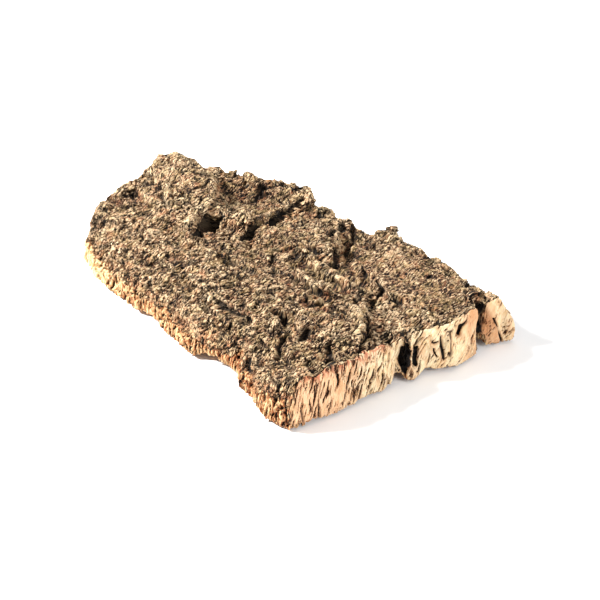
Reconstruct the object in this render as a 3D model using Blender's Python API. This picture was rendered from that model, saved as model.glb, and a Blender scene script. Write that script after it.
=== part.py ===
"""A slab of virgin cork bark, lying on its inner side with the rough outer bark up.

Run with blender --background --python part.py, or from Blender's text editor.
+X runs along the trunk, +Y across it, +Z up. The origin is the middle of the slab's base,
on the surface that it lies on.
Shape values are in millimetres, and the finished mesh is scaled to metres.
"""

import math
from collections import namedtuple

import bpy
import numpy as np
from mathutils import Vector, noise

MM = 0.001

# Thickness of the slab where no feature stands on it
THICKNESS = 35.0
# Rough length and width, which turn a place in the patch into a distance from an edge
LENGTH, WIDTH = 280.0, 165.0

# The four edges, corner to corner: x and y of the base, and height of the upper rim over it
FRONT_EDGE = (
    (-110, -80, 21), (-90, -84, 20), (-66, -86, 20), (-37, -85, 20), (-11, -83, 21), (14, -85, 21),
    (34, -87, 21), (40, -81, 22), (54, -79, 23), (70, -77, 24), (79, -82, 24), (95, -84, 25),
    (108, -89, 26), (120, -90, 29), (133, -85, 33),
)
RIGHT_EDGE = (
    (133, -85, 33), (136, -66, 34), (137, -45, 32), (136, -25, 31), (136, -11, 30), (133, -3, 28),
    (139, 6, 31), (136, 16, 33), (144, 32, 34), (143, 46, 34), (142.5, 55, 34), (137, 63.5, 33),
    (140, 78, 33), (146, 89, 31),
)
BACK_EDGE = (
    (-97, 56, 42), (-77, 65, 44), (-56, 68, 46), (-34, 70, 39), (-6, 70, 37), (20, 69, 37),
    (40, 79, 38), (62, 81, 38), (88, 82, 37), (112, 79, 35), (130, 84, 34), (146, 89, 31),
)
LEFT_EDGE = (
    (-110, -80, 21), (-119, -77, 24), (-130, -66, 30), (-142, -54, 35), (-145, -40, 38),
    (-147, -24, 41), (-144, -10, 46), (-147, 3, 50), (-140, 14, 50), (-131, 27, 48), (-119, 36, 44),
    (-113, 48, 40), (-97, 56, 42),
)
# How far the upper rim stands in from the base, on each side and at the flared back right corner
FRONT_INSET, RIGHT_INSET, BACK_INSET, LEFT_INSET, CORNER_INSET = 5.0, 3.0, 2.5, 3.0, 5.0
# How closely that inset keeps to the rims and to the corner
INSET_KEEP, CORNER_KEEP = 8, 24
# How far the rim's height reaches into the top, on each side
FRONT_ROLL, RIGHT_ROLL, BACK_ROLL, LEFT_ROLL = 24.0, 8.0, 15.0, 26.0

# How square the sides of a smooth rise are
SWELL_SQUARENESS = 3.0
Swell = namedtuple("Swell", "x y along across turn height")
Line = namedtuple("Line", "points width height")

# Broad rises and hollows: centre, half sizes, turn in degrees and height
SWELLS = (
    Swell(-121, 8, 26, 22, 20, 6),
    Swell(-96, -8, 34, 20, -32, 7),
    Swell(-86, 34, 20, 15, 30, -6),
    Swell(-54, 60, 22, 10, 8, 4),
    Swell(4, 30, 34, 26, 0, 3),
    Swell(102, -31, 20, 15, 15, 4.5),
    Swell(60, -40, 40, 16, 0, 2),
    Swell(-20, -35, 36, 18, 0, 1.5),
    Swell(72, 62, 50, 16, 0, 2.5),
)
# Rounded ridges: crest line, half width and height
RIDGES = (
    Line(((-142, -4), (-136, 8), (-124, 18), (-108, 16), (-92, 6)), 9, 3),
    Line(((-112, -22), (-94, -24), (-76, -30), (-66, -34)), 8, 3),
    Line(((-88, 14), (-74, 8), (-58, 3), (-44, 3), (-32, 10)), 5, 7),
    Line(((-46, 2), (-38, 10), (-36, 28), (-41, 46), (-44, 62)), 6, 5),
    Line(((17, 14), (36, 16), (62, 13)), 4, 3),
    Line(((42, -1), (62, -4), (78, -4)), 4, 3),
    Line(((-5, -20), (24, -24), (52, -22)), 5, 2.5),
    Line(((-70, -52), (-30, -50), (10, -54), (60, -58)), 5, 2.5),
)
# Plate edges: the bark on the line's right-hand side rises to it over this width, then drops at it
SCARPS = (
    Line(((-116, 40), (-92, 20), (-76, 8), (-62, -8), (-48, -26)), 18, 8),
    Line(((4, 70), (14, 50), (36, 34), (33, 16)), 16, 6),
    Line(((92, 12), (95, 24), (104, 33), (122, 31), (132, 16)), 7, 5),
    Line(((92, -6), (104, -8), (116, -16), (123, -30), (119, -44), (106, -50)), 9, 5),
    Line(((-116, -46), (-84, -40), (-56, -47)), 12, 3),
    Line(((36, -38), (66, -46), (92, -56)), 12, 4),
    Line(((-52, -34), (-20, -32), (10, -38)), 10, 3),
    Line(((52, 66), (74, 60), (100, 62), (124, 58)), 12, 3),
)
# Furrows: line, half width and depth
FURROWS = (
    Line(((19, 49), (48, 30), (83, 22), (100, 6), (123, -5), (136, -4)), 5, 6),
    Line(((17, 20), (42, 23), (70, 22)), 3, 3),
    Line(((-28, 26), (-32, 42), (-36, 58)), 4, 8),
    Line(((-33, 13), (-24, 2), (-13, -9)), 4, 8),
    Line(((-62, -8), (-54, -12), (-46, -4)), 8, 9),
    Line(((4, 42), (6, 54), (12, 56)), 3, 5),
    Line(((12, 54), (30, 42), (39, 32)), 3.5, 5),
    Line(((110, -50), (120, -45)), 5, 8),
    Line(((-36, -14), (-10, -34), (20, -40)), 3, 3),
    Line(((-90, -40), (-50, -46), (-10, -62), (40, -68)), 3, 2.5),
    Line(((-118, -60), (-70, -66), (-20, -66), (30, -70), (90, -68)), 3, 2.5),
    Line(((96, 12), (110, 6), (122, 8)), 3, 3),
    Line(((-128, -10), (-108, -2), (-86, -16)), 4, 3.5),
    Line(((-122, 24), (-104, 18), (-94, 4)), 3, 3),
)
# How steeply an edge line or a furrow fades in from its ends, and the share of a furrow left there
END_FADE, FURROW_END = 7.0, 0.4
# Places where the fissures and small plates are shallow, with the share that is taken off
CALM = (
    Swell(112, 16, 18, 15, 0, 0.8),
    Swell(-78, 36, 20, 16, 20, 0.7),
    Swell(70, 50, 40, 18, 0, 0.5),
    Swell(0, 26, 30, 22, 0, 0.4),
)

# Rounded lumps that stand out over the surface or overhang it: centre and half sizes
Knob = namedtuple("Knob", "x y z along across up")
KNOBS = (
    Knob(-64, -24, 37, 12, 9, 9),
    Knob(-56, -31, 33, 8, 6, 7),
    Knob(38, 75, 40, 6, 5, 7),
    Knob(45, 73, 37, 5, 5, 6),
    Knob(31, 70, 37, 5, 4, 5),
    Knob(54, 66, 37, 6, 5, 4),
    Knob(-138, -30, 35, 7, 8, 6),
    Knob(-131, -50, 31, 6, 7, 6),
    Knob(-91, 51, 39, 11, 6, 5),
    Knob(-20, 64, 36, 10, 6, 5),
)
KNOB_ROUGHNESS, KNOB_GRAIN = 0.22, 5.0
KNOB_SEGMENTS, KNOB_RINGS = 24, 14

# Relief that repeats over the outer bark: fissures along the trunk, and the plates between them
FISSURE_LENGTH, FISSURE_PITCH, FISSURE_DEPTH, FISSURE_SHARPNESS = 40.0, 12.0, 3.0, 0.8
PLATE_LENGTH, PLATE_WIDTH, PLATE_DEPTH, PLATE_EDGE = 12.0, 8.0, 3.2, 2.6
WANDER, WANDER_SIZE = 2.5, 16.0

# Stubs of the tissue on the sides, which run through the thickness
STUB_PITCH, STUB_LENGTH, STUB_DEPTH = 5.5, 30.0, 3.0
SIDE_SWELL, SIDE_SWELL_SIZE = 2.4, 20.0
# The middle levels of that relief, which keep its sum near the outline
STUB_LEVEL, SWELL_LEVEL = 0.5, -0.5

# Pore channels that are open on the cut end: y, half width, depth, and the shares of the height
# that they lie between
Channel = namedtuple("Channel", "y width depth low high")
CHANNELS = (
    Channel(-72, 1.6, 3, 0.2, 1.0), Channel(-62, 1.6, 3, 0.0, 0.7), Channel(-52, 1.6, 3.5, 0.2, 1.0),
    Channel(-41, 1.8, 3, 0.0, 0.8), Channel(-30, 1.6, 3.5, 0.3, 1.0), Channel(-20, 1.8, 4, 0.1, 0.9),
    Channel(-10, 1.8, 4, 0.0, 0.8), Channel(0, 3.0, 7, 0.0, 0.9), Channel(10, 2.2, 6, 0.1, 0.9),
    Channel(19, 1.6, 3, 0.2, 0.8), Channel(27, 2.0, 5, 0.3, 0.7), Channel(38, 2.4, 5, 0.3, 1.0),
    Channel(51, 2.2, 4, 0.2, 0.9), Channel(64, 3.0, 13, 0.0, 1.0), Channel(79, 1.8, 4, 0.1, 0.9),
)
# How far a channel leans over the height, and how steeply it opens at its low and high ends
CHANNEL_LEAN, CHANNEL_END = 3.0, 4.0
# How far a side has to face +X to be part of the cut end
CUT_FACING = 0.7

# The inner side: hollowed along its middle, ragged, and chipped at the rims
ARCH_RISE = 4.5
BASE_LIFT = 0.9
GRAIN_LENGTH, GRAIN_WIDTH, GRAIN_DEPTH = 14.0, 9.0, 0.7
# The ragged strip along the rims, and how closely it keeps to them
RAG_DEPTH, RAG_PITCH, RAG_KEEP = 3.0, 8.0, 12
# How square the sides of a chip and of a worn pad are
CHIP_SQUARENESS = 4
Chip = namedtuple("Chip", "x y along across rise")
CHIPS = (
    Chip(53, -80, 16, 9, 4.5),
    Chip(-22, -82, 10, 6, 2.5),
    Chip(136, -2, 9, 4, 5),
    Chip(138, 64, 9, 4, 11),
    Chip(136, 19, 7, 3, 2.5),
    Chip(-144, 8, 8, 14, 4),
    Chip(-40, 72, 14, 7, 4),
    Chip(92, 84, 12, 6, 3),
)
# The three low points that it rests on, worn flat
PADS = ((-96, -56), (106, -56), (8, 60))
PAD_RADIUS, PAD_WEAR = 10.0, 1.0

COLUMNS, ROWS, RINGS = 160, 92, 20
VOXEL = 1.7
TRIANGLES = 11200
CORK_BROWN = (0.42, 0.30, 0.20, 1.0)
CORK_ROUGHNESS = 0.95


def clear_scene():
    for obj in list(bpy.data.objects):
        bpy.data.objects.remove(obj)


def along(edge, share):
    """Points at these shares of the way along an edge, on straight runs between its points."""
    knots = np.array(edge, float)
    steps = np.linalg.norm(np.diff(knots[:, :2], axis=0), axis=1)
    place = np.concatenate([[0.0], np.cumsum(steps)]) / steps.sum()
    return np.column_stack([np.interp(share, place, column) for column in knots.T])


def patch(u, v):
    """A Coons patch over the four edges: x and y at u along the length and v across the width."""
    front, back = along(FRONT_EDGE, u)[:, :2], along(BACK_EDGE, u)[:, :2]
    left, right = along(LEFT_EDGE, v)[:, :2], along(RIGHT_EDGE, v)[:, :2]
    corners = np.array([FRONT_EDGE[0], FRONT_EDGE[-1], BACK_EDGE[0], BACK_EDGE[-1]])[:, :2]
    u, v = u[:, None], v[:, None]
    low = (1 - u) * corners[0] + u * corners[1]
    high = (1 - u) * corners[2] + u * corners[3]
    return (1 - v) * front + v * back + (1 - u) * left + u * right - (1 - v) * low - v * high


def nearest(points, x, y):
    """For plan points and a line: the gap to it, whether they lie on its right, and a fade at its ends."""
    best = np.full(x.shape, np.inf)
    right = np.zeros(x.shape, bool)
    place = np.zeros(x.shape)
    runs = len(points) - 1
    for k, ((ax, ay), (bx, by)) in enumerate(zip(points[:-1], points[1:])):
        dx, dy = bx - ax, by - ay
        share = np.clip(((x - ax) * dx + (y - ay) * dy) / (dx * dx + dy * dy), 0, 1)
        gap = np.hypot(x - ax - share * dx, y - ay - share * dy)
        closer = gap < best
        best = np.where(closer, gap, best)
        right = np.where(closer, dx * (y - ay) < dy * (x - ax), right)
        place = np.where(closer, (k + share) / runs, place)
    fade = np.clip(END_FADE * (0.5 - np.abs(place - 0.5)), 0, 1)
    return best, right, fade


def noise_at(x, y, z, size_x, size_y, size_z):
    """Smooth noise from about -1 to 1, with these sizes of its swells."""
    places = zip(np.ravel(x) / size_x, np.ravel(y) / size_y, np.ravel(z) / size_z)
    return np.array([noise.noise(Vector(place)) for place in places])


def layer(x, number):
    """A height far from the other layers' heights, so that each use of the noise differs."""
    return np.full(x.shape, 10.0 * number)


def plates_at(x, y):
    """1 inside the small plates of the bark, and falling to 0 in the cracks between them."""
    cells = [
        noise.voronoi(Vector((px / PLATE_LENGTH, py / PLATE_WIDTH, 0.0)))[0] for px, py in zip(x, y)
    ]
    nearest_two = np.array([cell[:2] for cell in cells])
    return np.sqrt(np.clip((nearest_two[:, 1] - nearest_two[:, 0]) * PLATE_EDGE, 0, 1))


def swells_at(swells, x, y):
    """The sum of these smooth rises at the plan points."""
    total = np.zeros(x.shape)
    for swell in swells:
        turn = math.radians(swell.turn)
        dx, dy = x - swell.x, y - swell.y
        a = (dx * math.cos(turn) + dy * math.sin(turn)) / swell.along
        b = (dy * math.cos(turn) - dx * math.sin(turn)) / swell.across
        total += swell.height * np.exp(-(np.hypot(a, b) ** SWELL_SQUARENESS))
    return total


def rounded_body(u, v):
    """The plain thickness, drawn to the height of each rim near it."""
    sides = (
        (along(FRONT_EDGE, u)[:, 2], v * WIDTH, FRONT_ROLL),
        (along(BACK_EDGE, u)[:, 2], (1 - v) * WIDTH, BACK_ROLL),
        (along(LEFT_EDGE, v)[:, 2], u * LENGTH, LEFT_ROLL),
        (along(RIGHT_EDGE, v)[:, 2], (1 - u) * LENGTH, RIGHT_ROLL),
    )
    pull, total, free = 0.0, 0.0, 1.0
    for rim, distance, roll in sides:
        weight = np.exp(-distance / roll)
        pull = pull + weight * rim
        total = total + weight
        free = free * (1 - weight)
    return free * THICKNESS + (1 - free) * pull / total


def top_height(x, y, u, v):
    """Height of the outer bark, for plan points and their places in the patch."""
    height = rounded_body(u, v)
    # The features follow wandering lines, as grown bark does
    wx = x + WANDER * noise_at(x, y, layer(x, 0), WANDER_SIZE, WANDER_SIZE, 1)
    wy = y + WANDER * noise_at(x, y, layer(x, 1), WANDER_SIZE, WANDER_SIZE, 1)
    height += swells_at(SWELLS, wx, wy)
    for ridge in RIDGES:
        gap, _, _ = nearest(ridge.points, wx, wy)
        height += ridge.height * np.exp(-((gap / ridge.width) ** 2))
    for scarp in SCARPS:
        gap, right, fade = nearest(scarp.points, wx, wy)
        height += scarp.height * np.exp(-gap / scarp.width) * right * fade
    for furrow in FURROWS:
        gap, _, fade = nearest(furrow.points, wx, wy)
        depth = furrow.height * (FURROW_END + (1 - FURROW_END) * fade)
        height -= depth * np.clip(1 - gap / furrow.width, 0, 1)
    fissures = noise_at(wx, wy, layer(x, 2), FISSURE_LENGTH, FISSURE_PITCH, 1)
    repeated = FISSURE_DEPTH * (1 - 2 * np.abs(fissures) ** FISSURE_SHARPNESS)
    repeated += PLATE_DEPTH * (plates_at(wx, wy) - 1)
    return height + repeated * (1 - swells_at(CALM, wx, wy))


def base_height(x, y, u, v):
    """Height of the inner side: hollow in the middle, ragged at the rims, and worn flat at the pads."""
    middle = 16 * u * (1 - u) * v * (1 - v)
    height = BASE_LIFT + ARCH_RISE * np.sqrt(middle)
    height += GRAIN_DEPTH * noise_at(x, y, layer(x, 3), GRAIN_LENGTH, GRAIN_WIDTH, 1)
    rags = np.abs(noise_at(x, y, layer(x, 4), RAG_PITCH, RAG_PITCH, 1))
    height += RAG_DEPTH * rags * (1 - middle) ** RAG_KEEP
    for chip in CHIPS:
        a, b = (x - chip.x) / chip.along, (y - chip.y) / chip.across
        height += chip.rise * np.exp(-(a**CHIP_SQUARENESS) - b**CHIP_SQUARENESS)
    for px, py in PADS:
        worn = np.exp(-((np.hypot(x - px, y - py) / PAD_RADIUS) ** CHIP_SQUARENESS))
        height = (1 - worn) * height - worn * PAD_WEAR
    return height


def side_relief(x, y, z, share, on_cut_end):
    """How far a side stands out at these points: stubs and channels that run through the thickness."""
    stubs = 1 - 2 * np.abs(noise_at(x, y, z, STUB_PITCH, STUB_PITCH, STUB_LENGTH))
    swell = noise_at(x, y, z, SIDE_SWELL_SIZE, SIDE_SWELL_SIZE, SIDE_SWELL_SIZE)
    relief = STUB_DEPTH * (stubs - STUB_LEVEL) + SIDE_SWELL * (swell - SWELL_LEVEL)
    relief *= math.sin(math.pi * share)
    for channel in CHANNELS:
        reach = np.clip(CHANNEL_END * (share - channel.low), 0, 1)
        reach = reach * np.clip(CHANNEL_END * (channel.high - share) + 1, 0, 1)
        across = (y - channel.y - CHANNEL_LEAN * (share - 0.5)) / channel.width
        relief -= on_cut_end * channel.depth * reach * np.exp(-across * across)
    return relief


def rim_places(foot, u, v):
    """The plan of the upper surface, whose rim stands in a little from the base."""
    corner = CORNER_INSET * (u * v) ** CORNER_KEEP
    shift_x = LEFT_INSET * (1 - u) ** INSET_KEEP - RIGHT_INSET * u**INSET_KEEP
    shift_y = FRONT_INSET * (1 - v) ** INSET_KEEP - BACK_INSET * v**INSET_KEEP
    return foot + np.column_stack([shift_x - corner, shift_y - corner])


def slab_body():
    """Points and faces of the closed slab: a top and a base grid on one patch, joined by rings of points."""
    grid = np.meshgrid(np.linspace(0, 1, COLUMNS + 1), np.linspace(0, 1, ROWS + 1))
    u, v = grid[0].ravel(), grid[1].ravel()
    foot = patch(u, v)
    rim = rim_places(foot, u, v)
    top = np.column_stack([rim, top_height(rim[:, 0], rim[:, 1], u, v)])
    base = np.column_stack([foot, base_height(foot[:, 0], foot[:, 1], u, v)])

    stride = COLUMNS + 1
    around = (
        list(range(COLUMNS))
        + [j * stride + COLUMNS for j in range(ROWS)]
        + [ROWS * stride + i for i in range(COLUMNS, 0, -1)]
        + [j * stride for j in range(ROWS, 0, -1)]
    )
    low, high = base[around], top[around]
    step = np.roll(foot[around], -1, axis=0) - np.roll(foot[around], 1, axis=0)
    outward = np.column_stack([step[:, 1], -step[:, 0]]) / np.linalg.norm(step, axis=1)[:, None]
    on_cut_end = outward[:, 0] > CUT_FACING

    points = [*base, *top]
    rings = [np.array(around)]
    for k in range(1, RINGS):
        share = k / RINGS
        ring = low + share * (high - low)
        relief = side_relief(*ring.T, share, on_cut_end)
        ring[:, :2] += outward * relief[:, None]
        rings.append(np.arange(len(points), len(points) + len(ring)))
        points.extend(ring)
    rings.append(np.array(around) + len(base))

    faces = []
    for j in range(ROWS):
        for i in range(COLUMNS):
            a = j * stride + i
            faces.append((a, a + stride, a + stride + 1, a + 1))
            faces.append(tuple(len(base) + k for k in (a, a + 1, a + stride + 1, a + stride)))
    for lower, upper in zip(rings[:-1], rings[1:]):
        for k in range(len(around)):
            n = (k + 1) % len(around)
            faces.append((lower[k], lower[n], upper[n], upper[k]))
    return points, faces


def knob_body(knob):
    """Points and faces of a rough closed ball with the knob's half sizes."""
    centre = Vector((knob.x, knob.y, knob.z))
    points = []
    for i in range(KNOB_RINGS + 1):
        tilt = math.pi * i / KNOB_RINGS
        for k in range(KNOB_SEGMENTS if 0 < i < KNOB_RINGS else 1):
            turn = math.tau * k / KNOB_SEGMENTS
            reach = Vector(
                (
                    knob.along * math.sin(tilt) * math.cos(turn),
                    knob.across * math.sin(tilt) * math.sin(turn),
                    knob.up * math.cos(tilt),
                )
            )
            rough = 1 + KNOB_ROUGHNESS * noise.noise((centre + reach) / KNOB_GRAIN)
            points.append(centre + rough * reach)
    last = len(points) - 1
    faces = []
    for k in range(KNOB_SEGMENTS):
        n = (k + 1) % KNOB_SEGMENTS
        faces.append((0, 1 + k, 1 + n))
        for i in range(KNOB_RINGS - 2):
            a = 1 + i * KNOB_SEGMENTS
            faces.append((a + k, a + KNOB_SEGMENTS + k, a + KNOB_SEGMENTS + n, a + n))
        a = last - KNOB_SEGMENTS
        faces.append((a + k, last, a + n))
    return points, faces


def bark_mesh():
    """The slab and its knobs as overlapping closed bodies in one mesh."""
    points, faces = slab_body()
    for knob in KNOBS:
        more_points, more_faces = knob_body(knob)
        faces += [tuple(len(points) + k for k in face) for face in more_faces]
        points += more_points
    mesh = bpy.data.meshes.new("cork_bark")
    mesh.from_pydata([tuple(MM * c for c in point) for point in points], [], faces)
    return mesh


def cork_material():
    material = bpy.data.materials.new("cork_bark")
    material.use_nodes = True
    shader = material.node_tree.nodes["Principled BSDF"]
    shader.inputs["Base Color"].default_value = CORK_BROWN
    shader.inputs["Roughness"].default_value = CORK_ROUGHNESS
    material.diffuse_color = CORK_BROWN
    return material


def ground_block():
    """A block whose upper face is the surface that the slab lies on: it cuts the three pads flat."""
    length, width, depth = 2 * LENGTH * MM, 2 * WIDTH * MM, 2 * THICKNESS * MM
    corners = [(x, y, z) for x in (-length, length) for y in (-width, width) for z in (-depth, 0)]
    faces = [(0, 1, 3, 2), (4, 6, 7, 5), (0, 4, 5, 1), (2, 3, 7, 6), (0, 2, 6, 4), (1, 5, 7, 3)]
    mesh = bpy.data.meshes.new("ground_block")
    mesh.from_pydata(corners, [], faces)
    block = bpy.data.objects.new("ground_block", mesh)
    block.hide_render = True
    block.display_type = "WIRE"
    bpy.context.scene.collection.objects.link(block)
    return block


def evaluated_mesh(obj):
    bpy.context.view_layer.update()
    return obj.evaluated_get(bpy.context.evaluated_depsgraph_get()).data


def make_bark():
    bark = bpy.data.objects.new("cork_bark", bark_mesh())
    bpy.context.scene.collection.objects.link(bark)
    bark.data.materials.append(cork_material())

    skin = bark.modifiers.new("one_skin", "REMESH")
    skin.mode = "VOXEL"
    skin.voxel_size = VOXEL * MM
    triangles = sum(len(face.vertices) - 2 for face in evaluated_mesh(bark).polygons)
    fewer = bark.modifiers.new("fewer_faces", "DECIMATE")
    fewer.ratio = TRIANGLES / triangles
    fewer.use_collapse_triangulate = True
    pads = bark.modifiers.new("flat_pads", "BOOLEAN")
    pads.operation = "DIFFERENCE"
    pads.object = ground_block()

    # The origin is under the middle of the finished slab
    points = np.array([vertex.co for vertex in evaluated_mesh(bark).vertices])
    middle = (points.min(axis=0) + points.max(axis=0)) / 2
    bark.location = (-middle[0], -middle[1], 0)
    return bark


def main():
    clear_scene()
    make_bark()


main()
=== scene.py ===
"""The looks of a slab of virgin cork bark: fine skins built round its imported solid.

Every object is in metres. Names and comments give lengths in millimetres.
"""

import math

import bpy
import numpy as np
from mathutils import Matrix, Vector, noise


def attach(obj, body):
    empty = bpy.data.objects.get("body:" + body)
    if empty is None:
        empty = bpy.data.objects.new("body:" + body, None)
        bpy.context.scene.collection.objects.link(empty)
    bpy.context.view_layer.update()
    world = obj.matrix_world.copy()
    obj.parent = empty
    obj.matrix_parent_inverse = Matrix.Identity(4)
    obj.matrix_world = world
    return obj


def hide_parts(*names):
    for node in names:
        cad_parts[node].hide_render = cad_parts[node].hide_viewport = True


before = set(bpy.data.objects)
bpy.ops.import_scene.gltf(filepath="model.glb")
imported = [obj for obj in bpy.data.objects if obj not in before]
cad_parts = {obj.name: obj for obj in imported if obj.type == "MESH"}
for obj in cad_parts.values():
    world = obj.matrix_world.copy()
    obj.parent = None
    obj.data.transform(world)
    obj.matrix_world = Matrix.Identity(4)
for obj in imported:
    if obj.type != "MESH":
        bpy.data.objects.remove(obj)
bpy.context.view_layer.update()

NODE = "cork_bark"
MM = 0.001

# The skin starts with faces of this size, and the solid's own facets are softened this many times
VOXEL = 0.5
SOFTENING = 20
# How many times the direction that each point faces is averaged with its neighbours'
FACING_ROUNDS = 43
# Most triangles in one piece
MOST_TRIANGLES = 197000
# How far a piece draws back under its neighbours, past the line where they meet
SINK = 4.5
# The finished pieces: the outer bark in two, and the cork under it
THICK_END, CUT_END, CORK = "bark_crust_thick_end", "bark_crust_cut_end", "bark_cork"
# The two pieces of outer bark meet about here along x, over this width
MEETING, MEETING_WIDTH = -8.0, 6.0


def set_values(mesh, name, values):
    """Keeps a number or a vector for every vertex."""
    kind, field = ("FLOAT_VECTOR", "vector") if values.ndim == 2 else ("FLOAT", "value")
    attribute = mesh.attributes.new(name, kind, "POINT")
    attribute.data.foreach_set(field, np.ascontiguousarray(values, np.float32).ravel())


def vertex_vectors(items, key):
    """The vector that each of a mesh's vertices or normals has under this name."""
    vectors = np.empty(3 * len(items), np.float32)
    items.foreach_get(key, vectors)
    return vectors.reshape(-1, 3)


def ramp(values, start, end):
    """0 up to the start, 1 from the end on, and even between them."""
    return np.clip((values - start) / (end - start), 0, 1)


def solidified(obj, name):
    """The mesh that an object has after its modifiers. The object itself is removed."""
    bpy.context.view_layer.update()
    graph = bpy.context.evaluated_depsgraph_get()
    mesh = bpy.data.meshes.new_from_object(obj.evaluated_get(graph))
    bpy.data.objects.remove(obj)
    mesh.name = name
    return mesh


def placed(mesh, name):
    """A new object with this mesh."""
    obj = bpy.data.objects.new(name, mesh)
    bpy.context.scene.collection.objects.link(obj)
    return obj


def fine_skin():
    """The solid's surface in fine faces, with its facets softened."""
    obj = placed(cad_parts[NODE].data.copy(), "skin")
    fine = obj.modifiers.new("fine", "REMESH")
    fine.mode = "VOXEL"
    fine.voxel_size = VOXEL * MM
    soft = obj.modifiers.new("soft", "SMOOTH")
    soft.factor = 0.5
    soft.iterations = SOFTENING
    return solidified(obj, "skin")


def blurred(values, mesh, rounds):
    """Each vertex's value averaged with its neighbours' this many times."""
    ends = np.empty(2 * len(mesh.edges), np.int32)
    mesh.edges.foreach_get("vertices", ends)
    first, second = ends.reshape(-1, 2).T
    count = len(mesh.vertices)
    around = np.bincount(first, minlength=count) + np.bincount(second, minlength=count) + 1
    for _ in range(rounds):
        total = values.copy()
        for k in range(values.shape[1]):
            total[:, k] += np.bincount(first, values[second, k], count)
            total[:, k] += np.bincount(second, values[first, k], count)
        values = total / around[:, None]
    return values


def spread(grid, pick):
    """Each cell of a grid with its four neighbours, joined by this choice."""
    joined = grid.copy()
    for axis in (0, 1):
        for step in (-1, 1):
            joined = pick(joined, np.roll(grid, step, axis))
    return joined


# The slab in plan is measured in square cells of this size, with this many empty ones along each side
CELL, EDGE_CELLS = 1.0, 2
# A cell and its four neighbours, which one spread joins
JOINED_CELLS = 5
# How many cells round a point its outer bark is looked for, and how many in from the outline are counted
ROOF_REACH, RIM_REACH = 3, 16
# How many times the heights are smoothed, to find small hollows and broad ones
BLUR_ROUNDS, BROAD_BLUR_ROUNDS = 60, 400


def plan_grid(place, edge):
    """The height of the slab's upper side in each cell of its plan, and the cell that each point is in."""
    low = place[:, :2].min(axis=0) - edge * CELL
    size = np.ceil((place[:, :2].max(axis=0) - low) / CELL).astype(int) + edge
    spot = tuple(((place[:, :2] - low) / CELL).astype(int).T)
    top = np.zeros(size)
    np.maximum.at(top, spot, place[:, 2])
    return top, spot


def plan_values(place):
    """For each point: the height of the outer bark close to it, and its distance from the outline."""
    roof, spot = plan_grid(place, ROOF_REACH + EDGE_CELLS)
    inside = roof > 0
    rim = np.zeros(roof.shape)
    for _ in range(RIM_REACH):
        rim += inside
        inside = spread(inside, np.minimum)
    for _ in range(ROOF_REACH):
        roof = spread(roof, np.maximum)
    return roof[spot], rim[spot] * CELL


def blurred_height(place, rounds):
    """The height of the slab's upper side, smoothed round each point."""
    top, spot = plan_grid(place, EDGE_CELLS)
    weight = (top > 0).astype(float)
    for _ in range(rounds):
        top, weight = spread(top, np.add) / JOINED_CELLS, spread(weight, np.add) / JOINED_CELLS
    return top[spot] / weight[spot]


# The noise of another seed is read this many swells away
SEED_STEP = 40.0


def smooth_noise(place, size, seed):
    """Noise from -1 to 1 with swells of this size."""
    shifted = place / size + np.array([0, 0, SEED_STEP * seed])
    return np.array([noise.noise(Vector(point)) for point in shifted])


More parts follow.
